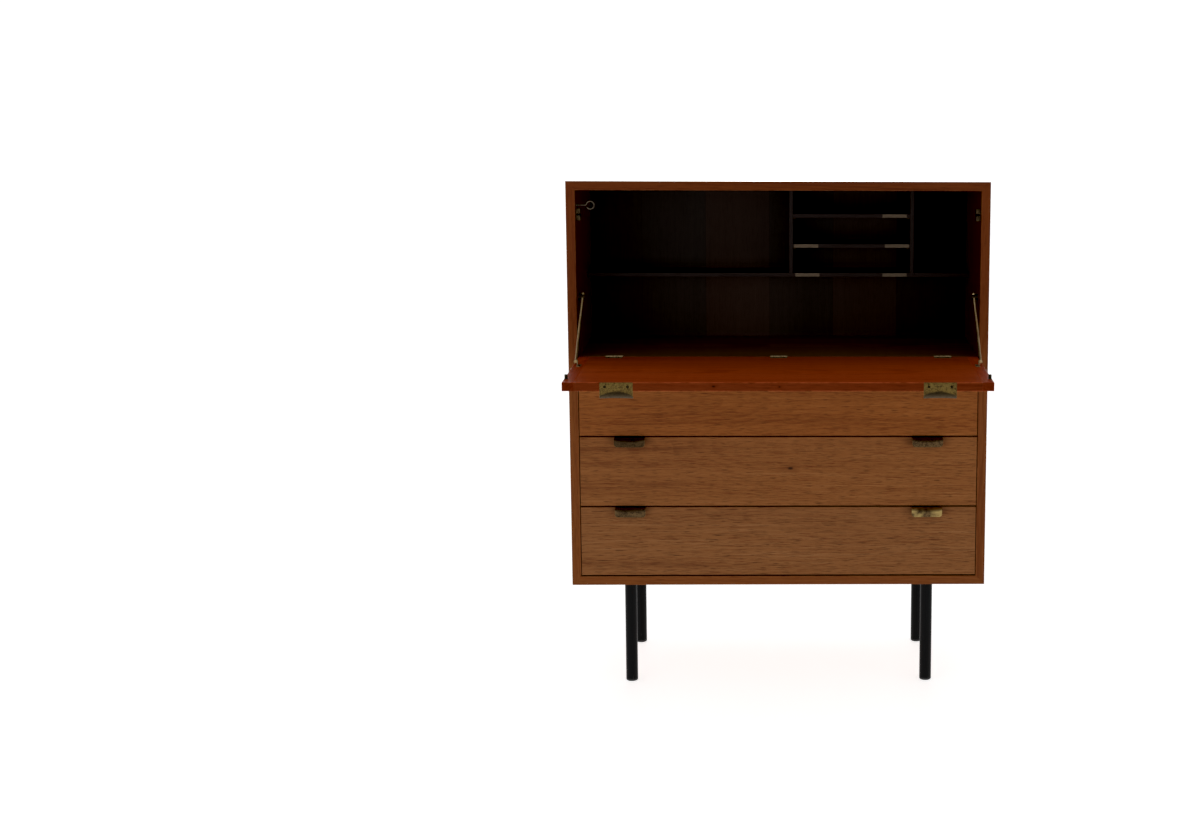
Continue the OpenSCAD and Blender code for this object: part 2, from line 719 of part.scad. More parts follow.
left_side();
right_side();
top_panel();
bottom_panel();
back_panel();
back_screws();
desk_floor();
long_shelf();
divider_left();
divider_right();
small_shelf_lower();
small_shelf_upper();
shelf_pins();
label_holders();
cup_hook();
catch_bodies();
catch_balls();
drawer_runners();
runner_screws();
case_hinge_leaves();
hinge_pins();
stay_bushes();
case_brass_screws();
leg_plates();
plate_screws();
leg_front_left();
leg_front_right();
leg_rear_left();
leg_rear_right();
leg_glides();
flap_panel();
flap_cleat_left();
flap_cleat_right();
flap_pulls();
flap_hinge_leaves();
flap_stay_brackets();
catch_strikes();
flap_brass_screws();
stay_rod_left();
stay_rod_right();
stay_swivel_left();
stay_swivel_right();
drawer_front(0);  // lower_drawer_front
drawer_sides(0);  // lower_drawer_sides
drawer_back(0);  // lower_drawer_back
drawer_bottom(0);  // lower_drawer_bottom
drawer_pulls(0);  // lower_drawer_pulls
drawer_screws(0);  // lower_drawer_screws
drawer_front(1);  // middle_drawer_front
drawer_sides(1);  // middle_drawer_sides
drawer_back(1);  // middle_drawer_back
drawer_bottom(1);  // middle_drawer_bottom
drawer_pulls(1);  // middle_drawer_pulls
drawer_screws(1);  // middle_drawer_screws
drawer_front(2);  // upper_drawer_front
drawer_sides(2);  // upper_drawer_sides
drawer_back(2);  // upper_drawer_back
drawer_bottom(2);  // upper_drawer_bottom
drawer_pulls(2);  // upper_drawer_pulls
drawer_screws(2);  // upper_drawer_screws
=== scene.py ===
"""Looks of the drop-front secretary desk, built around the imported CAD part.

Metres, in the row frame: the front faces -Y and the floor is z = 0. Every CAD node is replaced by
a piece with eased edges or by a detailed piece of the same size; the materials are procedural.
"""
import json
import math
import random

import bmesh
import bpy
from mathutils import Matrix, Vector

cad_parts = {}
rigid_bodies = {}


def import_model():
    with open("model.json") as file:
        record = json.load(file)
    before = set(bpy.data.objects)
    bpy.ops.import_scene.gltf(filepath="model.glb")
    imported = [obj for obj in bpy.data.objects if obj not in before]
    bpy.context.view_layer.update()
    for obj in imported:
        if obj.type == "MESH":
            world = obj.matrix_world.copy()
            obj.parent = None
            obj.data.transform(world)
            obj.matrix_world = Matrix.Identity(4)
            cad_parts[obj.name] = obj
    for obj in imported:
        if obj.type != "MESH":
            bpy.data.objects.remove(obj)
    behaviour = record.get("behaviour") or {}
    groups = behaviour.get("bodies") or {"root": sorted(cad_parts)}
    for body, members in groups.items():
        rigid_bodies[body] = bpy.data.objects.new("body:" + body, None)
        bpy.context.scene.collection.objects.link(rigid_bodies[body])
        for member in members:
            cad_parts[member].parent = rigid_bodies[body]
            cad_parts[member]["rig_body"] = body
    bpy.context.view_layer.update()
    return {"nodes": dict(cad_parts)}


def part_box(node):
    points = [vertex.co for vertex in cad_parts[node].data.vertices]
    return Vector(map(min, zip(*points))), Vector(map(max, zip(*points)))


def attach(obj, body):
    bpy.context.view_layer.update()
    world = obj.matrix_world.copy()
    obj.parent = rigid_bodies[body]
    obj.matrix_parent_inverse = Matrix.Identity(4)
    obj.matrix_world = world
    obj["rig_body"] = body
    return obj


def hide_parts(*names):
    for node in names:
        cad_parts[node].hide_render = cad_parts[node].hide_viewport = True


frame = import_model()
nodes = frame["nodes"]
scene = bpy.context.scene
MM = 0.001

# ---- Places that the looks depend on, all from the CAD ----
side_lo, side_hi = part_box("right_side")
INNER_X = side_lo.x
FRONT_Y = side_lo.y
CASE_BOTTOM, CASE_TOP = side_lo.z, side_hi.z
PANEL = side_hi.x - side_lo.x
BACK_FACE_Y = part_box("back_panel")[0].y
DESK_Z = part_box("desk_floor")[1].z
PULL_W = 68 * MM
PULL_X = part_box("lower_drawer_pulls")[1].x - PULL_W / 2

# ---- Wood layout: the edge strip of the case and the leaves of the back's veneer ----
LIPPING = 8 * MM
LEAF_W = 151 * MM
LEAF_SHIFT = 22 * MM
LEAF_SEAM = 0.004

# ---- Camera: the viewpoint, and its turn in degrees ----
CAM_LENS = 60.745
CAM_SHIFT = (-0.1917, -0.0011)
CAM_AT = (0.00489, -4.45193, 1.40381)
CAM_YAW, CAM_PITCH, CAM_ROLL = 1.41, 9.88, 0.225

# ---- Grading: light below this level turns black, for deep shadows ----
BLACK_LEVEL = 0.0045


def make_camera():
    yaw, pitch, roll = (math.radians(v) for v in (CAM_YAW, CAM_PITCH, CAM_ROLL))
    ahead = Vector((math.sin(yaw) * math.cos(pitch), math.cos(yaw) * math.cos(pitch), -math.sin(pitch)))
    right = Vector((math.cos(yaw), -math.sin(yaw), 0))
    up = right.cross(ahead)
    across = right * math.cos(roll) + up * math.sin(roll)
    upward = up * math.cos(roll) - right * math.sin(roll)
    data = bpy.data.cameras.new("camera")
    data.lens, data.sensor_width = CAM_LENS, 36
    data.shift_x, data.shift_y = CAM_SHIFT
    data.clip_end = 200
    camera = bpy.data.objects.new("camera", data)
    scene.collection.objects.link(camera)
    turn = Matrix((across, upward, -ahead)).transposed().to_4x4()
    camera.matrix_world = Matrix.Translation(CAM_AT) @ turn
    scene.camera = camera


# ---- Shader helpers: every argument is a socket or a plain value ----
class Graph:
    def __init__(self, tree):
        self.tree = tree

    def node(self, kind, **props):
        made = self.tree.nodes.new(kind)
        for key, value in props.items():
            setattr(made, key, value)
        return made

    def put(self, socket, value):
        if isinstance(value, bpy.types.NodeSocket):
            self.tree.links.new(value, socket)
        else:
            socket.default_value = value

    def math(self, op, a, b=0.0):
        made = self.node("ShaderNodeMath", operation=op)
        for socket, value in zip(made.inputs, (a, b)):
            self.put(socket, value)
        return made.outputs[0]

    def vmath(self, op, a, b=(0, 0, 0)):
        made = self.node("ShaderNodeVectorMath", operation=op)
        self.put(made.inputs[0], a)
        self.put(made.inputs[1], b)
        return made.outputs["Value" if op in ("LENGTH", "DISTANCE", "DOT_PRODUCT") else "Vector"]

    def split(self, vector):
        made = self.node("ShaderNodeSeparateXYZ")
        self.put(made.inputs[0], vector)
        return made.outputs

    def join(self, x, y, z):
        made = self.node("ShaderNodeCombineXYZ")
        for socket, value in zip(made.inputs, (x, y, z)):
            self.put(socket, value)
        return made.outputs[0]

    def noise(self, vector, scale, detail=2.0, rough=0.5):
        made = self.node("ShaderNodeTexNoise")
        self.put(made.inputs["Vector"], vector)
        for key, value in (("Scale", scale), ("Detail", detail), ("Roughness", rough)):
            self.put(made.inputs[key], value)
        return made.outputs[0]

    def white(self, value):
        made = self.node("ShaderNodeTexWhiteNoise", noise_dimensions="1D")
        self.put(made.inputs["W"], value)
        return made.outputs["Value"]

    def band(self, value, low, high):
        """0 at low, 1 at high, with soft ends; low may be above high."""
        made = self.node("ShaderNodeMapRange", interpolation_type="SMOOTHSTEP")
        flip = low > high
        self.put(made.inputs[0], value)
        for i, v in enumerate((min(low, high), max(low, high), 1.0 if flip else 0.0, 0.0 if flip else 1.0)):
            self.put(made.inputs[i + 1], v)
        return made.outputs[0]

    def mix(self, factor, a, b):
        made = self.node("ShaderNodeMix", data_type="RGBA")
        self.put(made.inputs[0], factor)
        self.put(made.inputs[6], rgba(a))
        self.put(made.inputs[7], rgba(b))
        return made.outputs[2]

    def place(self):
        return self.node("ShaderNodeTexCoord").outputs["Object"]

    def wear(self):
        return self.node("ShaderNodeAttribute", attribute_name="wear").outputs["Fac"]


def rgba(value):
    if isinstance(value, bpy.types.NodeSocket):
        return value
    return (*value, 1.0) if hasattr(value, "__len__") else (value, value, value, 1.0)


class Surface:
    """One Principled material under construction."""

    def __init__(self, name, **constants):
        self.made = bpy.data.materials.new(name)
        self.made.use_nodes = True
        self.graph = Graph(self.made.node_tree)
        self.shader = self.made.node_tree.nodes["Principled BSDF"]
        for key, value in constants.items():
            self.shader.inputs[key.replace("_", " ")].default_value = value

    def finish(self, colour, rough, height=None, depth=0.0002, strength=0.4):
        g = self.graph
        g.put(self.shader.inputs["Base Color"], rgba(colour))
        g.put(self.shader.inputs["Roughness"], rough)
        if height is not None:
            bump = g.node("ShaderNodeBump")
            bump.inputs["Strength"].default_value = strength
            bump.inputs["Distance"].default_value = depth
            g.put(bump.inputs["Height"], height)
            g.put(self.shader.inputs["Normal"], bump.outputs["Normal"])
        return self.made


# ---- Wood ----
GRAIN = {"x": (0, 1, 2), "xz": (0, 2, 1), "y": (1, 0, 2), "yz": (1, 2, 0), "z": (2, 0, 1), "zy": (2, 1, 0)}
KNOT_STRETCH = 1.8


def wood(name, grain, tones, seed, rings=0.5, heart=(0.0, -0.05), taper=0.06, knots=(), lip=False,
         leaves=False, inside=False, darker_round_pulls_at=None, pores=0.55, flecks=0.6, rough=(0.42, 0.64),
         ring_gap=6.5 * MM, banding=1.0, front_edge=None, edge_tone=(0.31, 0.33, 0.34), gloss=0.1,
         polished_above=None, wear=0.5, painted_shade_above=None, outside=None, dims=(), plain_behind=None):
    """Wood seen as growth rings, streaks along the grain, dark dashes and pores.

    tones are dark, middle and light. grain names the axes along and across the grain. heart is
    where the log's middle lies, across and behind the board. knots are (along, across, behind,
    size). front_edge is the y of a front edge whose tone differs from the faces by edge_tone.
    outside is the z of a face with a tint of its own, and that tint. dims darken the wood along an
    axis, as (axis, start, end, factor). plain_behind is the y behind which a plain brown veneer
    shows. wear lightens the rounded edges, as worn finish and a painted highlight, or darkens them
    where it is below 0, as painted shade along the gaps with some grime.
    """
    s = Surface(name, Specular_IOR_Level=gloss)
    g = s.graph
    rand = random.Random(seed)
    place = g.place()
    xyz = g.split(place)
    x, y, z = xyz[0], xyz[1], xyz[2]
    along, across, deep = (xyz[i] for i in GRAIN[grain])
    shift = [rand.uniform(-3, 3) for _ in range(3)]
    tone_shift = 0.0
    if leaves:
        cell = g.math("FLOOR", g.math("DIVIDE", g.math("ADD", x, LEAF_SHIFT), LEAF_W))
        pick = g.white(g.math("ADD", cell, seed + 0.37))
        tone_shift = g.math("MULTIPLY", g.math("SUBTRACT", pick, 0.5), 0.55)
        along_seen = g.math("ADD", along, g.math("MULTIPLY", pick, 7.0))
    else:
        along_seen = along
    if lip:
        edge = g.math("SUBTRACT", y, FRONT_Y)
        lipped = g.math("LESS_THAN", edge, LIPPING)
        along_seen = g.math("ADD", along_seen, g.math("MULTIPLY", lipped, 1.7))
    p = g.join(g.math("ADD", along_seen, shift[0]), g.math("ADD", across, shift[1]),
               g.math("ADD", deep, shift[2]))

    # growth rings round a slightly tilted, wavy heart
    wave = g.math("SUBTRACT", g.noise(g.vmath("MULTIPLY", p, (1.3, 4.5, 4.5)), 1.0, 3.0, 0.55), 0.5)
    wave_b = g.math("SUBTRACT", g.noise(g.vmath("MULTIPLY", p, (2.1, 9.0, 9.0)), 1.0, 2.0), 0.5)
    c = g.math("ADD", g.math("SUBTRACT", across, heart[0]), g.math("MULTIPLY", wave, 0.075))
    d = g.math("ADD", g.math("SUBTRACT", deep, heart[1]), g.math("MULTIPLY", along_seen, taper))
    d = g.math("ADD", d, g.math("MULTIPLY", wave_b, 0.03))
    radius = g.math("SQRT", g.math("ADD", g.math("MULTIPLY", c, c), g.math("MULTIPLY", d, d)))
    knot_dark, knot_rings = 0.0, 0.0
    for ka, kc, kd, size in knots:
        da = g.math("DIVIDE", g.math("SUBTRACT", along, ka), KNOT_STRETCH)
        dc, dd = g.math("SUBTRACT", across, kc), g.math("SUBTRACT", deep, kd)
        far = g.vmath("LENGTH", g.join(da, dc, dd))
        near = g.band(far, size * 3.2, size * 0.6)
        radius = g.math("ADD", radius, g.math("MULTIPLY", near, size * 1.3))
        core = g.band(g.math("ADD", far, g.math("MULTIPLY", wave_b, size)), size, size * 0.35)
        knot_dark = g.math("MAXIMUM", knot_dark, core)
        knot_rings = g.math("MAXIMUM", knot_rings, g.math("MULTIPLY", near, 0.45))
    phase = g.math("DIVIDE", radius, ring_gap)
    saw = g.math("FRACT", phase)
    late = g.math("MULTIPLY", g.band(saw, 0.25, 0.93), g.band(saw, 1.0, 0.95))
    late = g.math("MULTIPLY", late, g.math("ADD", 0.35, g.white(g.math("FLOOR", phase))))

    # streaks along the grain, from broad bands to fine lines, and short dark pores
    broad = g.noise(g.vmath("MULTIPLY", p, (0.9, 26, 26)), 1.0, 3.0, 0.6)
    streak = g.noise(g.vmath("MULTIPLY", p, (2.4, 150, 150)), 1.0, 3.0, 0.6)
    fine = g.noise(g.vmath("MULTIPLY", p, (9, 760, 760)), 1.0, 2.0, 0.6)
    pore = g.noise(g.vmath("MULTIPLY", p, (38, 1150, 1150)), 1.0, 1.0, 0.5)
    pits = g.band(pore, 0.58, 0.70)
    dash = g.noise(g.vmath("MULTIPLY", p, (24, 640, 640)), 1.0, 3.0, 0.65)
    dashes = g.math("MULTIPLY", g.band(dash, 0.53, 0.63), g.band(broad, 0.80, 0.32))
    blotch = g.noise(g.vmath("MULTIPLY", p, (1.6, 4.0, 4.0)), 1.0, 2.0, 0.5)

    value = g.math("MULTIPLY", g.math("SUBTRACT", broad, 0.5), banding)
    value = g.math("ADD", value, g.math("MULTIPLY", g.math("SUBTRACT", streak, 0.5), 0.9))
    value = g.math("ADD", value, g.math("MULTIPLY", g.math("SUBTRACT", fine, 0.5), 0.8))
    value = g.math("ADD", value, g.math("MULTIPLY", g.math("SUBTRACT", blotch, 0.5), 0.5))
    value = g.math("ADD", value, g.math("ADD", tone_shift, 0.53))
    value = g.math("SUBTRACT", value, g.math("MULTIPLY", late, rings))
    dark, middle, light = tones
    colour = g.mix(g.band(value, 0.0, 0.5), dark, middle)
    colour = g.mix(g.band(value, 0.5, 1.05), colour, light)
    fleck = [v * k for v, k in zip(dark, (0.86, 0.60, 0.48))]
    colour = g.mix(g.math("MULTIPLY", dashes, flecks), colour, fleck)
    colour = g.mix(g.math("MULTIPLY", pits, pores), colour, [v * 0.36 for v in dark])
    if knots:
        colour = g.mix(knot_rings, colour, dark)
        colour = g.mix(knot_dark, colour, [v * 0.25 for v in dark])
    if leaves:
        share = g.math("FRACT", g.math("DIVIDE", g.math("ADD", x, LEAF_SHIFT), LEAF_W))
        seam = g.math("ADD", g.band(share, LEAF_SEAM, 0.0), g.band(share, 1 - LEAF_SEAM, 1.0))
        pale = g.math("LESS_THAN", g.math("ABSOLUTE", g.math("SUBTRACT", g.math("ABSOLUTE", cell), 1)), 0.5)
        colour = g.mix(pale, g.vmath("MULTIPLY", colour, (0.86, 0.84, 0.84)),
                       g.vmath("MULTIPLY", colour, (1.32, 1.08, 1.02)))
        colour = g.mix(g.math("MULTIPLY", seam, 0.6), colour, [v * 0.3 for v in dark])
    if lip:
        colour = g.mix(g.math("MULTIPLY", lipped, 0.45), colour, [v * 0.72 for v in dark])
        joint = g.band(g.math("ABSOLUTE", g.math("SUBTRACT", edge, LIPPING)), 0.35 * MM, 0.1 * MM)
        colour = g.mix(g.math("MULTIPLY", joint, 0.7), colour, [v * 0.25 for v in dark])
    if inside:
        # the closed inside is darker and redder: partly its own less faded colour, partly painted shade
        within = g.math("MULTIPLY", g.math("LESS_THAN", g.math("ABSOLUTE", x), INNER_X + 0.3 * MM),
                        g.math("GREATER_THAN", y, FRONT_Y + 1.5 * MM))
        high = g.math("LESS_THAN", z, CASE_TOP - PANEL + 0.3 * MM)
        low = g.math("GREATER_THAN", z, CASE_BOTTOM + PANEL - 0.3 * MM)
        within = g.math("MULTIPLY", within, g.math("MULTIPLY", high, low))
        colour = g.mix(g.math("MULTIPLY", within, 0.72), colour, INSIDE[0])
    if front_edge is not None:
        at_front = g.band(y, front_edge + 0.5 * MM, front_edge + 0.2 * MM)
        colour = g.mix(at_front, colour, g.vmath("MULTIPLY", colour, edge_tone))
    if outside is not None:
        # the underside of the open flap is its outer face: as bleached as the drawer fronts
        level, tint = outside
        out = g.band(z, level + 0.5 * MM, level + 0.2 * MM)
        colour = g.mix(out, colour, g.vmath("MULTIPLY", colour, tint))
    for axis, start, end, factor in dims:
        colour = g.mix(g.band(xyz[axis], start, end), colour, g.vmath("MULTIPLY", colour, (factor,) * 3))
    if plain_behind is not None:
        rear = g.math("GREATER_THAN", y, plain_behind)
        plain = g.mix(g.band(value, 0.15, 0.85), (0.085, 0.038, 0.017), (0.150, 0.072, 0.032))
        colour = g.mix(rear, colour, plain)
    # the case above the desk is painted darker and redder: painted shade
    if painted_shade_above is not None:
        high = g.band(z, painted_shade_above - 0.12, painted_shade_above + 0.15)
        colour = g.mix(high, colour, g.vmath("MULTIPLY", colour, (0.72, 0.53, 0.36)))
    if darker_round_pulls_at is not None:
        # darker round the pulls, on the face and along the top edge
        gx = g.math("DIVIDE", g.math("SUBTRACT", g.math("ABSOLUTE", x), PULL_X), 52 * MM)
        gz = g.math("DIVIDE", g.math("SUBTRACT", z, darker_round_pulls_at), 24 * MM)
        away = g.math("SQRT", g.math("ADD", g.math("MULTIPLY", gx, gx), g.math("MULTIPLY", gz, gz)))
        away = g.math("ADD", away, g.math("MULTIPLY", wave_b, 0.9))
        colour = g.mix(g.math("MULTIPLY", g.band(away, 1.25, 0.35), 0.62), colour, [v * 0.3 for v in dark])
    # lighter where the eased edges are scuffed: worn finish, and a painted highlight along the arrises
    scuff = g.noise(place, 55.0, 3.0, 0.7)
    worn = g.math("MULTIPLY", g.wear(), g.band(scuff, 0.35, 0.62))
    # below 0 the eased edges are darkened: painted shade along the gaps between parts, with some grime
    if wear < 0:
        colour = g.mix(g.math("MULTIPLY", g.wear(), -wear), colour, [v * 0.3 for v in dark])
    else:
        colour = g.mix(g.math("MULTIPLY", worn, wear), colour, [min(1, v * 1.5 + 0.02) for v in light])

    shine = g.math("ADD", rough[0], g.math("MULTIPLY", g.math("ADD", blotch, g.math("MULTIPLY", pits, 0.3)),
                                          rough[1] - rough[0]))
    ridges = g.math("ADD", g.math("MULTIPLY", fine, 0.35), g.math("MULTIPLY", streak, 0.5))
    height = g.math("SUBTRACT", ridges, g.math("MULTIPLY", pits, 0.55))
    if polished_above is not None:
        top = g.band(z, polished_above, polished_above + 0.2 * MM)
        shine = g.math("SUBTRACT", shine, g.math("MULTIPLY", top, g.math("SUBTRACT", shine, 0.07)))
        height = g.math("MULTIPLY", height, g.math("SUBTRACT", 1.0, g.math("MULTIPLY", top, 0.9)))
    return s.finish(colour, shine, height, 0.00025, 0.35)


CASE = ((0.140, 0.036, 0.0065), (0.232, 0.073, 0.0165), (0.31, 0.116, 0.034))
FRONT = ((0.132, 0.037, 0.0085), (0.225, 0.074, 0.0180), (0.30, 0.113, 0.033))
FLAP = ((0.28, 0.040, 0.0085), (0.40, 0.066, 0.0150), (0.49, 0.096, 0.0240))
CLEAT = ((0.24, 0.028, 0.0045), (0.35, 0.046, 0.0085), (0.44, 0.070, 0.0150))
FLOOR = ((0.062, 0.028, 0.014), (0.100, 0.048, 0.024), (0.15, 0.072, 0.036))
SHELF_EDGE = (0.65, 0.55, 0.6)
# INSIDE and BACK are far darker than the case: partly the inner wood's own less faded colour, partly
# painted shade of the closed-in hollow
INSIDE = ((0.022, 0.0165, 0.0130), (0.031, 0.0230, 0.0180), (0.043, 0.0310, 0.0240))
BACK = ((0.024, 0.0175, 0.0135), (0.028, 0.0200, 0.0155), (0.033, 0.0230, 0.0175))
BEECH = ((0.34, 0.19, 0.085), (0.47, 0.29, 0.14), (0.58, 0.39, 0.21))


# ---- Metals, paint and plastic ----
def brass(name, dull, bright, glint, tarnish=0.6, worn=(0.42, 0.30, 0.11), painted_shade_below=None):
    """dull and bright are the two tones of the aged skin; glint shows in fine worn specks. The
    mesh's polish value, from -1 to 1, makes one pull darker or brighter than the next."""
    s = Surface(name, Metallic=1.0)
    g = s.graph
    place = g.place()
    cloud = g.noise(place, 42.0, 4.0, 0.62)
    speck = g.noise(place, 620.0, 3.0, 0.7)
    spots = g.noise(place, 210.0, 2.0, 0.5)
    mottle = g.noise(place, 330.0, 2.0, 0.6)
    brushed = g.noise(g.vmath("MULTIPLY", place, (40, 1900, 1900)), 1.0, 2.0)
    colour = g.mix(g.band(g.math("ADD", g.math("MULTIPLY", cloud, 0.5), g.math("MULTIPLY", mottle, 0.5)),
                          0.42, 0.58), dull, bright)
    colour = g.mix(g.math("MULTIPLY", g.band(speck, 0.44, 0.68), 0.5), colour, glint)
    colour = g.mix(g.math("MULTIPLY", g.band(spots, 0.58, 0.70), tarnish), colour, (0.030, 0.019, 0.009))
    polish = g.node("ShaderNodeAttribute", attribute_name="polish").outputs["Fac"]
    patch = g.noise(place, 26.0, 2.0, 0.5)
    rubbed = g.math("MULTIPLY", g.math("MAXIMUM", polish, 0.0), g.band(patch, 0.42, 0.54))
    colour = g.mix(g.math("MULTIPLY", rubbed, 0.7), colour, worn)
    unpolished = g.math("MAXIMUM", g.math("MULTIPLY", polish, -1.0), 0.0)
    colour = g.mix(g.math("MULTIPLY", unpolished, 0.7), colour, [v * 0.3 for v in dull])
    if painted_shade_below is not None:
        # painted shade of the dished bend: its dark edge stands higher in the middle of the pull
        off = g.math("SUBTRACT", g.math("ABSOLUTE", g.split(place)[0]), PULL_X)
        arch = g.math("MULTIPLY", g.math("MULTIPLY", off, off), 8.5)
        z = g.split(place)[2]
        level = g.math("ADD", g.math("ADD", z, arch), g.math("MULTIPLY", cloud, 4 * MM))
        low = g.band(level, painted_shade_below + 4 * MM, painted_shade_below - 0.5 * MM)
        low = g.math("MULTIPLY", low, g.band(z, painted_shade_below - 15.9 * MM, painted_shade_below - 15.2 * MM))
        lowest = g.band(z, painted_shade_below - 4 * MM, painted_shade_below - 17 * MM)
        shade = g.mix(lowest, (0.012, 0.009, 0.007), (0.085, 0.066, 0.044))
        colour = g.mix(g.math("MULTIPLY", low, 0.85), colour, shade)
    colour = g.mix(g.math("MULTIPLY", g.wear(), 0.6), colour, worn)
    rough = g.math("ADD", 0.30, g.math("MULTIPLY", cloud, 0.22))
    rough = g.math("ADD", rough, g.math("MULTIPLY", g.band(spots, 0.55, 0.7), 0.2))
    pitting = g.math("MULTIPLY", g.band(spots, 0.62, 0.7), -0.7)
    height = g.math("ADD", g.math("MULTIPLY", brushed, 0.3), pitting)
    return s.finish(colour, rough, height, 0.00008, 0.35)


def steel(name):
    s = Surface(name, Metallic=1.0)
    g = s.graph
    place = g.place()
    cloud = g.noise(place, 90.0, 4.0, 0.6)
    spots = g.noise(place, 500.0, 2.0, 0.6)
    colour = g.mix(g.band(cloud, 0.35, 0.65), (0.24, 0.24, 0.235), (0.43, 0.43, 0.42))
    colour = g.mix(g.math("MULTIPLY", g.band(spots, 0.62, 0.72), 0.6), colour, (0.12, 0.075, 0.045))
    return s.finish(colour, g.math("ADD", 0.3, g.math("MULTIPLY", cloud, 0.25)), spots, 0.00005, 0.3)


def label_metal(name, faces_y):
    """A satin metal rim round a pale card: the card is the let-in middle of the face."""
    s = Surface(name)
    g = s.graph
    place = g.place()
    y = g.split(place)[1]
    card = g.math("GREATER_THAN", y, faces_y + 0.4 * MM)
    cloud = g.noise(place, 130.0, 4.0, 0.6)
    fibre = g.noise(g.vmath("MULTIPLY", place, (900, 900, 2600)), 1.0, 2.0)
    rim = g.mix(g.band(cloud, 0.3, 0.7), (0.054, 0.041, 0.027), (0.132, 0.100, 0.066))
    paper = g.mix(g.band(fibre, 0.3, 0.7), (0.108, 0.076, 0.048), (0.170, 0.122, 0.078))
    g.put(s.shader.inputs["Metallic"], g.math("SUBTRACT", 0.9, g.math("MULTIPLY", card, 0.9)))
    rough = g.math("ADD", 0.33, g.math("MULTIPLY", card, 0.5))
    return s.finish(g.mix(card, rim, paper), rough, fibre, 0.00005, 0.25)


def black_paint(name):
    s = Surface(name, Specular_IOR_Level=0.1, Coat_Weight=0.015, Coat_Roughness=0.2)
    g = s.graph
    place = g.place()
    z = g.split(place)[2]
    peel = g.noise(place, 900.0, 2.0, 0.5)
    scuffs = g.noise(g.vmath("MULTIPLY", place, (160, 160, 30)), 1.0, 4.0, 0.7)
    low = g.band(z, 0.055, 0.004)
    colour = g.mix(g.band(peel, 0.3, 0.7), (0.0018, 0.0019, 0.0021), (0.0038, 0.0039, 0.0041))
    often = g.math("ADD", 0.12, g.math("MULTIPLY", low, 0.6))
    scraped = g.math("MULTIPLY", g.band(scuffs, 0.60, 0.72), often)
    colour = g.mix(scraped, colour, (0.045, 0.041, 0.037))
    colour = g.mix(g.math("MULTIPLY", g.wear(), 0.5), colour, (0.07, 0.066, 0.062))
    rough = g.math("ADD", 0.27, g.math("MULTIPLY", scuffs, 0.25))
    return s.finish(colour, rough, peel, 0.00006, 0.25)


def black_plastic(name):
    s = Surface(name)
    g = s.graph
    place = g.place()
    grit = g.noise(place, 1400.0, 2.0, 0.6)
    dust = g.noise(place, 240.0, 3.0, 0.7)
    colour = g.mix(g.band(dust, 0.5, 0.75), (0.014, 0.014, 0.014), (0.055, 0.052, 0.048))
    return s.finish(colour, g.math("ADD", 0.5, g.math("MULTIPLY", dust, 0.25)), grit, 0.0001, 0.4)


# ---- Mesh helpers ----
def cad_mesh(node):
    """A node's mesh with its facets joined back into flat faces."""
    made = bmesh.new()
    made.from_mesh(nodes[node].data)
    bmesh.ops.remove_doubles(made, verts=made.verts, dist=0.002 * MM)
    bmesh.ops.dissolve_limit(made, angle_limit=math.radians(0.4), verts=made.verts, edges=made.edges)
    return made


INNER_EASE = 0.2 * MM


def ease(made, width, shortest):
    """Rounds the long convex edges over, those on the board's outline wider, and marks them for the edge
    tones: worn finish, painted highlight and painted shade.
    """
    layer = made.faces.layers.float.get("wear") or made.faces.layers.float.new("wear")
    ends = [[pick(v.co[i] for v in made.verts) for pick in (min, max)] for i in range(3)]

    def on_outline(e):
        middle = (e.verts[0].co + e.verts[1].co) / 2
        return sum(min(abs(middle[i] - level) for level in ends[i]) < 0.02 * MM for i in range(3)) > 1

    for outline, size in ((True, width), (False, INNER_EASE)):
        edges = [e for e in made.edges if len(e.link_faces) == 2 and e.is_convex
                 and e.calc_length() > shortest and on_outline(e) == outline
                 and math.radians(50) < e.calc_face_angle(0) < math.radians(140)]
        if edges:
            got = bmesh.ops.bevel(made, geom=edges, offset=size, segments=2, profile=0.6,
                                  affect="EDGES", clamp_overlap=True)
            for f in got["faces"]:
                f[layer] = 1.0 if outline else 0.4


def piece(made, name, standing_for, finish, smooth=38):
    """Turns a bmesh into a piece that rides where the nodes it stands for ride."""
    data = bpy.data.meshes.new(name)
    made.to_mesh(data)
    made.free()
    data.shade_smooth()
    data.set_sharp_from_angle(angle=math.radians(smooth))
    data.materials.append(finish)
    made_object = bpy.data.objects.new(name, data)
    scene.collection.objects.link(made_object)
    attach(made_object, nodes[standing_for[0]]["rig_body"])
    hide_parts(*standing_for)
    return made_object


def eased(node, finish, width=0.6 * MM, shortest=14 * MM, boards=True):
    """A CAD node with eased edges. On boards the faces stay flat and only the edges are smooth."""
    made = cad_mesh(node)
    ease(made, width, shortest)
    flat = [boards and f[made.faces.layers.float["wear"]] == 0 for f in made.faces]
    made_object = piece(made, node + "_look", [node], finish)
    for face, is_flat in zip(made_object.data.polygons, flat):
        face.use_smooth = not is_flat
    return made_object


def islands(node):
    """The corners of each separate solid of a node."""
    made = bmesh.new()
    made.from_mesh(nodes[node].data)
    bmesh.ops.remove_doubles(made, verts=made.verts, dist=0.002 * MM)
    seen, found = set(), []
    for start in made.verts:
        if start in seen:
            continue
        seen.add(start)
        queue, group = [start], []
        while queue:
            v = queue.pop()
            group.append(v.co.copy())
            for e in v.link_edges:
                other = e.other_vert(v)
                if other not in seen:
                    seen.add(other)
                    queue.append(other)
        found.append(group)
    made.free()
    return found


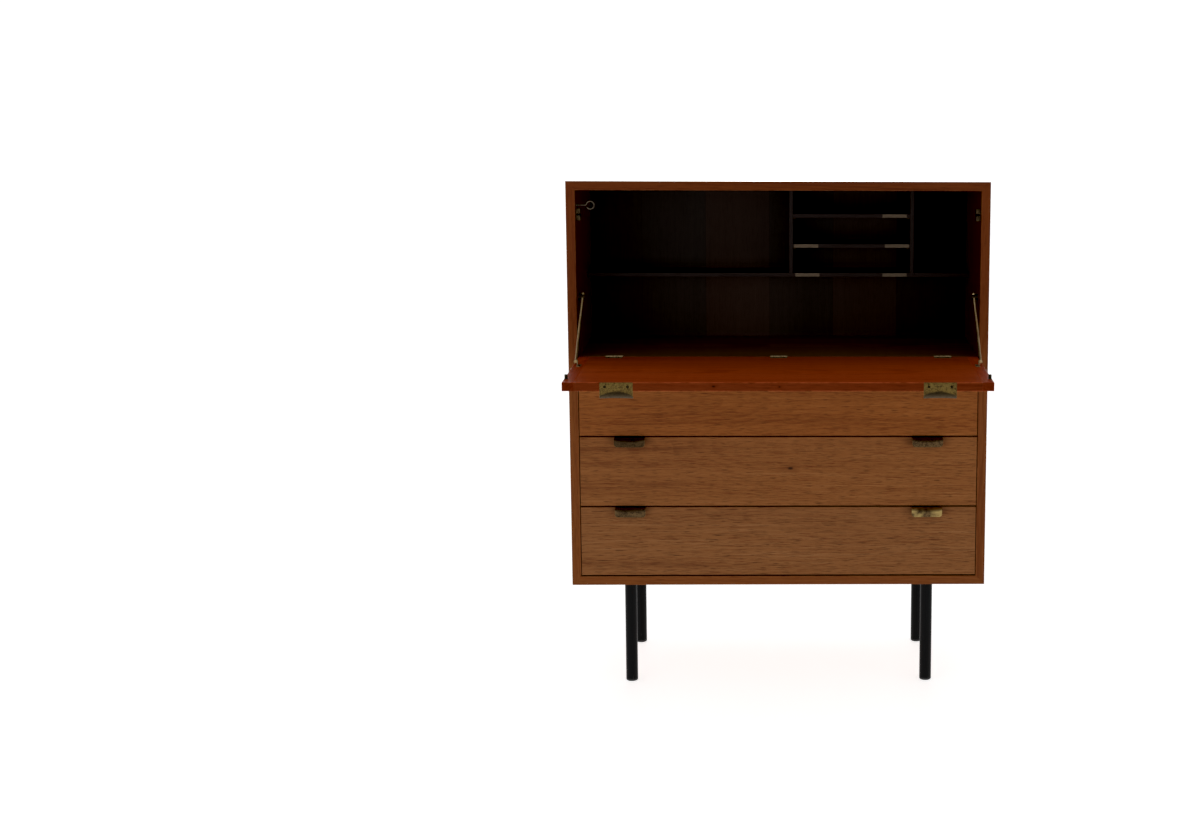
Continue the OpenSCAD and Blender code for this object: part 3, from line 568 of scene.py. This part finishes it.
def lathe(made, profile, segments=48, at=Matrix.Identity(4)):
    """Turns a profile of (radius, height) points round the local Z axis, closed at radius 0."""
    rings = []
    for r, h in profile:
        if r < 1e-7:
            rings.append([made.verts.new(at @ Vector((0, 0, h)))])
        else:
            rings.append([made.verts.new(at @ Vector((r * math.cos(2 * math.pi * i / segments),
                                                      r * math.sin(2 * math.pi * i / segments), h)))
                          for i in range(segments)])
    faces = []
    for a, b in zip(rings, rings[1:]):
        for i in range(segments):
            j = (i + 1) % segments
            corners = [a[i % len(a)], a[j % len(a)], b[j % len(b)], b[i % len(b)]]
            unique = [v for k, v in enumerate(corners) if v not in corners[:k]]
            if len(unique) > 2:
                faces.append(made.faces.new(unique))
    return faces


ROUND_STEPS = 4


def rounded(profile, at, radius):
    """Replaces corner number at of a profile by a small arc."""
    (ax, ay), (bx, by), (cx, cy) = profile[at - 1], profile[at], profile[at + 1]
    a = Vector((ax - bx, ay - by)).normalized() * radius
    c = Vector((cx - bx, cy - by)).normalized() * radius
    arc = []
    for i in range(ROUND_STEPS + 1):
        t = i / ROUND_STEPS
        arc.append((bx + a.x * (1 - t) ** 2 + c.x * t ** 2, by + a.y * (1 - t) ** 2 + c.y * t ** 2))
    return profile[:at] + arc + profile[at + 1:]


# ---- Screws: countersunk, with a low dome and a cut slot ----
def screw_mesh(head, shaft, length):
    """Head up at z = 0, so that only the dome and slot stand above the surface."""
    made = bmesh.new()
    dome = head * 0.085
    profile = [(0, dome)]
    profile += [(head / 2 * math.sin(a), dome * math.cos(a)) for a in
                (math.pi / 2 * i / 6 for i in range(1, 6))]
    profile += [(head / 2, 0), (shaft / 2, -(head - shaft) / 2)]
    thread_from, pitch = -(head - shaft) / 2 - 0.15 * length, shaft * 0.42
    h = thread_from
    while h - pitch > -length + shaft * 0.6:
        profile += [(shaft / 2, h), (shaft * 0.4, h - pitch / 2)]
        h -= pitch
    profile += [(shaft * 0.4, -length + shaft * 0.6), (0, -length)]
    lathe(made, profile, 20)
    bmesh.ops.recalc_face_normals(made, faces=made.faces)
    # the slot: the dome's corners inside a strip are pushed down
    width, deep = head * 0.055, head * 0.06
    for sign in (-1, 1):
        for offset in (width, width * 1.12):
            bmesh.ops.bisect_plane(made, geom=made.verts[:] + made.edges[:] + made.faces[:],
                                   plane_co=(0, sign * offset, 0), plane_no=(0, 1, 0), dist=1e-7)
    for v in made.verts:
        if v.co.z > -1e-7 and abs(v.co.y) < width * 1.05 and math.hypot(v.co.x, v.co.y) < head * 0.495:
            v.co.z -= deep
    data = bpy.data.meshes.new("screw")
    made.to_mesh(data)
    made.free()
    return data


screw_meshes = {}


def screws(node, finish, seed, sink=0.0):
    """Stands detailed screws where a node's solids are. Those facing forwards are sunk by sink."""
    rand = random.Random(seed)
    made = bmesh.new()
    for group in islands(node):
        lo = Vector([min(v[i] for v in group) for i in range(3)])
        hi = Vector([max(v[i] for v in group) for i in range(3)])
        size = hi - lo
        axis = max(range(3), key=lambda i: size[i])
        middle = (lo + hi) / 2
        others = [i for i in range(3) if i != axis]

        def reach(level):
            return max(math.hypot(v[others[0]] - middle[others[0]], v[others[1]] - middle[others[1]])
                       for v in group if abs(v[axis] - level) < 0.1 * MM)

        top, bottom = reach(hi[axis]), reach(lo[axis])
        sign = 1 if top > bottom else -1
        head, shaft, length = 2 * max(top, bottom), 2 * min(top, bottom), size[axis]
        key = tuple(round(v / MM, 1) for v in (head, shaft, length))
        if key not in screw_meshes:
            screw_meshes[key] = screw_mesh(*(v * MM for v in key))
        direction = Vector([sign if i == axis else 0 for i in range(3)])
        seat = middle.copy()
        seat[axis] = hi[axis] if sign > 0 else lo[axis]
        if direction.y < 0:
            seat -= direction * sink
        turn = direction.to_track_quat("Z", "Y").to_matrix().to_4x4()
        spin = Matrix.Rotation(rand.uniform(0, math.pi), 4, "Z")
        before = len(made.verts)
        made.from_mesh(screw_meshes[key])
        made.verts.ensure_lookup_table()
        bmesh.ops.transform(made, matrix=Matrix.Translation(seat) @ turn @ spin, verts=made.verts[before:])
    return piece(made, node + "_look", [node], finish, 42)


# ---- Pulls: a plate, a dished bend and a lip with rounded corners, of one sheet ----
PULL_T, PULL_OUT, PULL_LIP, PULL_PLATE = 1.5 * MM, 16 * MM, 20 * MM, 18 * MM
BEND_ENDS, BEND_MIDDLE = 6 * MM, 11.5 * MM
LIP_CORNER = 7 * MM
# the flap's pulls and the screws that face forwards are let in, so their domes keep to the CAD box
PULL_LET_IN = 0.52 * MM
PULL_COLUMNS, ARC_ROWS, FLAT_ROWS, LIP_ROWS = 40, 12, 5, 6


def pull_section(x, front_t):
    """Outer surface points and normals (y, z) of the sheet at x, from the back edge to the lip's end."""
    share = abs(2 * x / PULL_W)
    radius = BEND_ENDS + (BEND_MIDDLE - BEND_ENDS) * (1 - share ** 2)
    over = max(0.0, abs(x) - (PULL_W / 2 - LIP_CORNER))
    end = -PULL_LIP + LIP_CORNER - math.sqrt(max(0.0, LIP_CORNER ** 2 - over ** 2))
    start = -PULL_OUT + radius
    points = [((front_t + (start - front_t) * i / FLAT_ROWS, 0.0), (0.0, 1.0)) for i in range(FLAT_ROWS)]
    for i in range(ARC_ROWS + 1):
        a = math.pi / 2 * i / ARC_ROWS
        normal = (-math.sin(a), math.cos(a))
        points.append(((start + radius * normal[0], -radius + radius * normal[1]), normal))
    for i in range(1, LIP_ROWS + 1):
        points.append(((-PULL_OUT, -radius + (end + radius) * i / LIP_ROWS), (-1.0, 0.0)))
    return points


def pull_mesh(front_t):
    made = bmesh.new()
    layer = made.faces.layers.float.new("wear")
    outer, inner = [], []
    for i in range(PULL_COLUMNS + 1):
        x = -PULL_W / 2 * math.cos(math.pi * i / PULL_COLUMNS)
        section = pull_section(x, front_t)
        outer.append([made.verts.new((x, p[0], p[1])) for p, n in section])
        inner.append([made.verts.new((x, p[0] - n[0] * PULL_T, p[1] - n[1] * PULL_T)) for p, n in section])
    last = len(outer[0]) - 1
    for i in range(PULL_COLUMNS):
        for j in range(last):
            made.faces.new((outer[i][j], outer[i + 1][j], outer[i + 1][j + 1], outer[i][j + 1]))
            made.faces.new((inner[i][j], inner[i][j + 1], inner[i + 1][j + 1], inner[i + 1][j]))
        for j in (0, last):
            made.faces.new((outer[i][j], inner[i][j], inner[i + 1][j], outer[i + 1][j]))
    for i in (0, PULL_COLUMNS):
        for j in range(last):
            made.faces.new((outer[i][j], outer[i][j + 1], inner[i][j + 1], inner[i][j]))
    bmesh.ops.recalc_face_normals(made, faces=made.faces)
    edges = [e for e in made.edges if len(e.link_faces) == 2 and e.calc_face_angle(0) > math.radians(55)]
    got = bmesh.ops.bevel(made, geom=edges, offset=0.32 * MM, segments=2, profile=0.6, affect="EDGES",
                          clamp_overlap=True)
    for f in got["faces"]:
        f[layer] = 1.0
    data = bpy.data.meshes.new("pull")
    made.to_mesh(data)
    made.free()
    return data


def pulls(node, finish, base, polish=(0.0, 0.0)):
    """base turns the pull's local frame into the row frame, for a pull at x = 0."""
    made = bmesh.new()
    layer = made.faces.layers.float.new("polish")
    for sign, amount in zip((-1, 1), polish):
        before, faces_before = len(made.verts), len(made.faces)
        made.from_mesh(pull_data)
        made.verts.ensure_lookup_table()
        made.faces.ensure_lookup_table()
        for f in made.faces[faces_before:]:
            f[layer] = amount
        bmesh.ops.transform(made, matrix=Matrix.Translation((sign * PULL_X, 0, 0)) @ base,
                            verts=made.verts[before:])
    return piece(made, node + "_look", [node], finish, 40)


# ---- Legs and glides ----
LEG_WALL, LEG_CAP = 1.5 * MM, 3 * MM
STUD_R, STUD_PITCH = 4 * MM, 1.2 * MM


def leg(node, finish):
    lo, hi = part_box(node)
    middle = (lo + hi) / 2
    made = bmesh.new()
    layer = made.faces.layers.float.new("wear")
    r, top = (hi.x - lo.x) / 2, CASE_BOTTOM
    bore = r - LEG_WALL
    profile = [(0, top), (r, top), (r, lo.z), (bore, lo.z), (bore, top - LEG_CAP), (0, top - LEG_CAP)]
    profile = rounded(rounded(profile, 2, 0.5 * MM), 1, 0.9 * MM)
    lathe(made, profile, 64, Matrix.Translation((middle.x, middle.y, 0)))
    stud = [(0, top - 0.5 * MM), (STUD_R, top - 0.5 * MM)]
    h = top
    while h < hi.z - STUD_PITCH:
        stud += [(STUD_R, h), (STUD_R - 0.5 * MM, h + STUD_PITCH / 2)]
        h += STUD_PITCH
    lathe(made, stud + [(3 * MM, hi.z), (0, hi.z)], 24, Matrix.Translation((middle.x, middle.y, 0)))
    bmesh.ops.recalc_face_normals(made, faces=made.faces)
    for f in made.faces:
        rim = min(abs(f.calc_center_median().z - level) for level in (top, lo.z))
        f[layer] = 1.0 if rim < 0.7 * MM and f.normal.z ** 2 < 0.9 else 0.0
    return piece(made, node + "_look", [node], finish, 35)


def glides(node, finish):
    made = bmesh.new()
    for group in islands(node):
        lo = Vector([min(v[i] for v in group) for i in range(3)])
        hi = Vector([max(v[i] for v in group) for i in range(3)])
        r = (hi.x - lo.x) / 2
        neck = r - 1.55 * MM
        profile = [(0, 0.6 * MM), (3 * MM, 0.5 * MM), (4 * MM, 0), (r - 2.4 * MM, 0), (r, 2.2 * MM)]
        profile += [(r, 5 * MM), (neck, 5 * MM), (neck, hi.z), (0, hi.z)]
        profile = rounded(rounded(profile, 5, 0.4 * MM), 4, 1.0 * MM)
        middle = Matrix.Translation(((lo.x + hi.x) / 2, (lo.y + hi.y) / 2, 0))
        lathe(made, rounded(profile, 3, 1.2 * MM), 48, middle)
    bmesh.ops.recalc_face_normals(made, faces=made.faces)
    return piece(made, node + "_look", [node], finish, 35)


# ---- Cup hook: one bent wire with a round tip, and its collar ----
WIRE_SIDES = 20
HOOK_WIRE_R = 1.25 * MM


def wire(made, path, radii):
    """Sweeps a circle along a path in the XZ plane."""
    rings = []
    for i, (p, r) in enumerate(zip(path, radii)):
        ahead = (path[min(i + 1, len(path) - 1)] - path[max(i - 1, 0)]).normalized()
        flat = Vector((0, 1, 0))
        out = flat.cross(ahead)
        rings.append([made.verts.new(p + r * (math.cos(a) * flat + math.sin(a) * out))
                      for a in (2 * math.pi * k / WIRE_SIDES for k in range(WIRE_SIDES))])
    for a, b in zip(rings, rings[1:]):
        for k in range(WIRE_SIDES):
            j = (k + 1) % WIRE_SIDES
            made.faces.new((a[k], a[j], b[j], b[k]))
    made.faces.new(rings[0])
    made.faces.new(list(reversed(rings[-1])))


def cup_hook(node, finish):
    lo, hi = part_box(node)
    wall, z = -INNER_X, (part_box(node)[0].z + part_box(node)[1].z) / 2
    y = (lo.y + hi.y) / 2
    ring_r = (hi.z - lo.z) / 2 - HOOK_WIRE_R
    centre = Vector((hi.x - ring_r - HOOK_WIRE_R, y, z))
    # the ring's wire starts entry past the shank and goes round to sweep, both as angles
    entry, sweep = 0.42, math.radians(325)
    shank_end = centre.x - ring_r
    path, radii = [], []
    for i in range(9):
        path.append(Vector((lo.x + (wall - lo.x) * i / 8, y, z)))
        radii.append(HOOK_WIRE_R * (0.35 + 0.65 * min(1, i / 4)))
    for i in range(1, 8):
        path.append(Vector((wall + (shank_end - 3 * MM - wall) * i / 7, y, z)))
        radii.append(HOOK_WIRE_R)
    bend = [Vector((shank_end - 3 * MM, y, z)), Vector((shank_end, y, z)),
            centre + Vector((-math.cos(entry), 0, math.sin(entry))) * ring_r]
    for i in range(1, 8):
        t = i / 8
        path.append(bend[0] * (1 - t) ** 2 + bend[1] * 2 * t * (1 - t) + bend[2] * t ** 2)
        radii.append(HOOK_WIRE_R)
    for i in range(65):
        a = math.pi - entry - (sweep - entry) * i / 64
        path.append(centre + Vector((math.cos(a), 0, math.sin(a))) * ring_r)
        radii.append(HOOK_WIRE_R)
    ahead = (path[-1] - path[-2]).normalized()
    tip = [math.pi / 2 * i / 5.2 for i in range(6)]
    for before, now in zip(tip, tip[1:]):
        path.append(path[-1] + ahead * HOOK_WIRE_R * (math.sin(now) - math.sin(before)))
        radii.append(HOOK_WIRE_R * math.cos(now))
    made = bmesh.new()
    wire(made, path, radii)
    collar = [(0, 0), (4.5 * MM, 0), (4.5 * MM, 0.7 * MM), (3.4 * MM, 1.5 * MM), (0, 1.6 * MM)]
    side = Matrix.Translation((wall, y, z)) @ Matrix.Rotation(math.pi / 2, 4, "Y")
    lathe(made, rounded(collar, 2, 0.4 * MM), 32, side)
    bmesh.ops.recalc_face_normals(made, faces=made.faces)
    return piece(made, node + "_look", [node], finish, 40)


# ---- Build ----
make_camera()
brass_flap_pull = brass("brass_flap_pull", (0.066, 0.042, 0.015), (0.138, 0.092, 0.028),
                        (0.20, 0.140, 0.046), painted_shade_below=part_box("flap_panel")[0].z)
brass_drawer_pull = brass("brass_drawer_pull", (0.036, 0.022, 0.013), (0.108, 0.066, 0.031),
                          (0.20, 0.132, 0.060))
brass_screw = brass("brass_screw", (0.008, 0.006, 0.004), (0.018, 0.013, 0.007), (0.024, 0.017, 0.009), 0.5,
                    (0.05, 0.035, 0.016))
brass_dark = brass("brass_dark", (0.022, 0.015, 0.009), (0.055, 0.038, 0.020), (0.11, 0.080, 0.040), 0.7,
                   (0.16, 0.12, 0.06))
brass_hinge = brass("brass_hinge", (0.22, 0.155, 0.075), (0.42, 0.31, 0.16), (0.56, 0.43, 0.24), 0.85)
brass_rod = brass("brass_rod", (0.50, 0.34, 0.15), (0.74, 0.55, 0.29), (0.85, 0.66, 0.38), 0.3,
                  (0.85, 0.68, 0.42))
steel_finish = steel("steel")
beech_along_y = wood("beech_side", "yz", BEECH, 11, rings=0.2, pores=0.3, ring_gap=9 * MM)
beech_along_x = wood("beech_back", "xz", BEECH, 12, rings=0.2, pores=0.3, ring_gap=9 * MM)
beech_flat = wood("beech_bottom", "x", BEECH, 13, rings=0.25, pores=0.25, ring_gap=12 * MM)

# above the desk the case is painted darker and redder: painted shade
case_look = dict(lip=True, inside=True, rings=0.25, wear=0.35, painted_shade_above=DESK_Z)
CASE_PANELS = {
    "left_side": ("case_left", "zy", 21, dict(heart=(0.10, -0.52), taper=0.03)),
    "right_side": ("case_right", "zy", 22, dict(heart=(0.22, 0.53), taper=-0.04)),
    "top_panel": ("case_top", "x", 23, dict(heart=(0.16, 1.04), taper=0.05,
                                            polished_above=CASE_TOP - 0.4 * MM)),
    "bottom_panel": ("case_bottom", "x", 24, dict(heart=(0.12, 0.18), taper=0.04)),
}
for node, (name, grain, seed, look) in CASE_PANELS.items():
    eased(node, wood(name, grain, CASE, seed, **look, **case_look), 0.8 * MM)

# the upper part of the back is a little darker: painted shade under the top. Its right half is a little
# darker too
back_dims = ((2, DESK_Z + 0.12, DESK_Z + 0.22, 0.6), (0, 0.0, 0.06, 0.8))
back_leaves = wood("back_leaves", "z", BACK, 25, plain_behind=BACK_FACE_Y + 4 * MM, dims=back_dims,
                   leaves=True, heart=(0.0, 0.42), rings=0.1, gloss=0.1, flecks=0.2, pores=0.3,
                   banding=0.5, wear=0.1)
eased("back_panel", back_leaves, 0.3 * MM)
floor_teak = wood("desk_floor", "x", FLOOR, 26, heart=(0.2, 0.66), taper=0.03)
eased("desk_floor", floor_teak, 0.6 * MM)
shelf_look = dict(rings=0.4, gloss=0.12, wear=0.2, edge_tone=SHELF_EDGE)
SHELVES = (("long_shelf", "x", 30), ("small_shelf_lower", "x", 31), ("small_shelf_upper", "x", 32),
           ("divider_left", "zy", 34), ("divider_right", "zy", 35))
for node, grain, seed in SHELVES:
    heart = (0.3, 0.8) if grain == "x" else (0.3, 0.2)
    finish = wood(node, grain, INSIDE, seed, heart=heart, front_edge=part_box(node)[0].y, **shelf_look)
    eased(node, finish, 0.5 * MM)

flap_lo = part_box("flap_panel")[0]
flap_look = dict(rough=(0.36, 0.55), gloss=0.03, front_edge=flap_lo.y)
flap_knots = ((-0.133, flap_lo.y, DESK_Z - 8 * MM, 3 * MM),
              (0.002, flap_lo.y, DESK_Z - 9 * MM, 2 * MM))
# the flap is painted darker towards the hinge: painted shadow of the case on the open flap
flap_panel = wood("flap_panel", "x", FLAP, 41, heart=(-0.2, 0.64), taper=0.07, rings=0.25,
                  outside=(flap_lo.z, (0.53, 1.08, 1.3)), knots=flap_knots,
                  dims=((1, FRONT_Y - 0.22, FRONT_Y + 0.01, 0.72),), **flap_look)
eased("flap_panel", flap_panel, 0.9 * MM)
for side, seed, hand in (("left", 43, -1), ("right", 44, 1)):
    cleat = wood("cleat_" + side, "y", CLEAT, seed, heart=(0.42 * hand, 0.70), rings=0.3,
                 outside=(flap_lo.z, (0.58, 1.35, 2.0)), **flap_look)
    eased("flap_cleat_" + side, cleat, 0.9 * MM)

pull_data = pull_mesh(PULL_PLATE)
# how bright the left and the right pull have been rubbed
POLISH = {"lower": (-0.15, 1.0), "middle": (-0.8, -0.2), "upper": (0.2, -0.3)}
# the lower fronts are painted a little greyer and less red than the upper ones: painted light from the
# floor below
FRONT_SHIFT = {"lower": (0.94, 1.12, 1.46), "middle": (0.98, 1.09, 1.25), "upper": (1.03, 1.0, 0.9)}
looks = {
    "lower": dict(seed=51, heart=(0.20, 0.055), taper=0.10, rings=0.12),
    "middle": dict(seed=52, heart=(0.55, 0.060), taper=0.13, rings=0.10,
                   knots=((0.026, 0.499, FRONT_Y, 5.5 * MM),)),
    "upper": dict(seed=53, heart=(0.66, 0.045), taper=-0.11, rings=0.14),
}
for drawer, look in looks.items():
    front = drawer + "_drawer_front"
    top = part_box(front)[1].z
    tones = [[v * k for v, k in zip(tone, FRONT_SHIFT[drawer])] for tone in FRONT]
    # the fronts' eased edges are darkened: painted shade of the gaps between the drawers, with some grime
    look.update(banding=0.6, flecks=0.8, pores=0.85, wear=-0.8)
    finish = wood(drawer + "_front", "xz", tones, darker_round_pulls_at=top - 2 * MM, **look)
    eased(front, finish, 0.6 * MM)
    eased(drawer + "_drawer_sides", beech_along_y, 0.6 * MM)
    eased(drawer + "_drawer_back", beech_along_x, 0.6 * MM)
    eased(drawer + "_drawer_bottom", beech_flat, 0.3 * MM)
    front_edge = Matrix.Translation((0, FRONT_Y, top))
    pulls(drawer + "_drawer_pulls", brass_drawer_pull, front_edge, POLISH[drawer])
    screws(drawer + "_drawer_screws", brass_screw, look["seed"])
flap_edge = Matrix.Translation((0, flap_lo.y + PULL_LET_IN, flap_lo.z))
pulls("flap_pulls", brass_flap_pull, flap_edge @ Matrix.Rotation(math.pi / 2, 4, "X"))
eased("drawer_runners", beech_along_y, 0.5 * MM)

for node in ("flap_brass_screws", "case_brass_screws"):
    screws(node, brass_screw, 61, PULL_LET_IN)
for node in ("runner_screws", "back_screws", "plate_screws"):
    screws(node, steel_finish, 62)
for node in ("case_hinge_leaves", "flap_hinge_leaves", "flap_stay_brackets"):
    eased(node, brass_hinge, 0.2 * MM, 3 * MM, boards=False)
for node in ("catch_bodies", "catch_strikes"):
    eased(node, brass_dark, 0.2 * MM, 3 * MM, boards=False)
for node in ("hinge_pins", "stay_bushes", "shelf_pins", "stay_swivel_left", "stay_swivel_right"):
    eased(node, brass_dark, 0.15 * MM, 30 * MM, boards=False)
for node in ("stay_rod_left", "stay_rod_right"):
    eased(node, brass_rod, 0.15 * MM, 30 * MM, boards=False)
eased("catch_balls", steel_finish, 0.1 * MM, boards=False)
eased("leg_plates", steel_finish, 0.4 * MM)
labels = label_metal("label_metal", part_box("label_holders")[0].y)
eased("label_holders", labels, 0.15 * MM, 3 * MM)
brass_hook = brass("brass_hook", (0.085, 0.068, 0.048), (0.18, 0.15, 0.11), (0.26, 0.22, 0.16), 0.5)
cup_hook("cup_hook", brass_hook)
paint = black_paint("leg_paint")
for end in ("front", "rear"):
    for side in ("left", "right"):
        leg(f"leg_{end}_{side}", paint)
glides("leg_glides", black_plastic("glide_plastic"))


# ---- Floor and light ----
def make_floor():
    made = bmesh.new()
    rings = [[made.verts.new((0, 0, 0))]]
    for r in (1.5, 6.0, 60.0):
        rings.append([made.verts.new((r * math.cos(a), r * math.sin(a), 0))
                      for a in (math.pi * 2 * k / 48 for k in range(48))])
    for a, b in zip(rings, rings[1:]):
        for k in range(48):
            j = (k + 1) % 48
            made.faces.new([a[0], b[k], b[j]] if len(a) == 1 else [a[k], b[k], b[j], a[j]])
    data = bpy.data.meshes.new("floor")
    made.to_mesh(data)
    made.free()
    s = Surface("floor_paint", Emission_Strength=0.74)
    g = s.graph
    s.shader.inputs["Emission Color"].default_value = (1, 1, 1, 1)
    soft = g.noise(g.place(), 1.7, 3.0, 0.5)
    data.materials.append(s.finish(g.mix(soft, (0.80, 0.80, 0.79), (0.86, 0.86, 0.85)), 0.6))
    floor = bpy.data.objects.new("floor", data)
    scene.collection.objects.link(floor)


def make_light():
    world = bpy.data.worlds.new("studio")
    scene.world = world
    world.use_nodes = True
    g = Graph(world.node_tree)
    towards = g.split(g.node("ShaderNodeTexCoord").outputs["Generated"])
    height = towards[2]
    low = g.band(height, 0.085, 0.22)
    high = g.band(height, 0.35, 0.95)
    # straight behind the desk the backdrop is far brighter: the polished top mirrors it as white
    behind = g.band(towards[1], 0.955, 0.985)
    horizon = g.mix(behind, (1.08, 1.08, 1.08), (4.5, 4.5, 4.5))
    glow = g.mix(low, horizon, (0.27, 0.27, 0.27))
    glow = g.mix(high, glow, (0.50, 0.50, 0.50))
    back = world.node_tree.nodes["Background"]
    g.put(back.inputs["Color"], glow)
    for name, at, aim, size, power in (
            ("key", (-2.2, -3.0, 1.5), (0, 0, 0.55), (1.8, 1.2), 9),
            ("fill", (2.6, -2.2, 1.1), (0, 0, 0.5), (1.0, 1.6), 4)):
        data = bpy.data.lights.new(name, "AREA")
        data.shape, data.size, data.size_y, data.energy = "RECTANGLE", size[0], size[1], power
        lamp = bpy.data.objects.new(name, data)
        scene.collection.objects.link(lamp)
        lamp.location = at
        lamp.rotation_euler = (Vector(aim) - Vector(at)).to_track_quat("-Z", "Y").to_euler()


make_floor()
make_light()
scene.view_settings.view_transform = "Standard"
scene.view_settings.use_curve_mapping = True
scene.view_settings.curve_mapping.black_level = (BLACK_LEVEL,) * 3
scene.view_settings.curve_mapping.update()
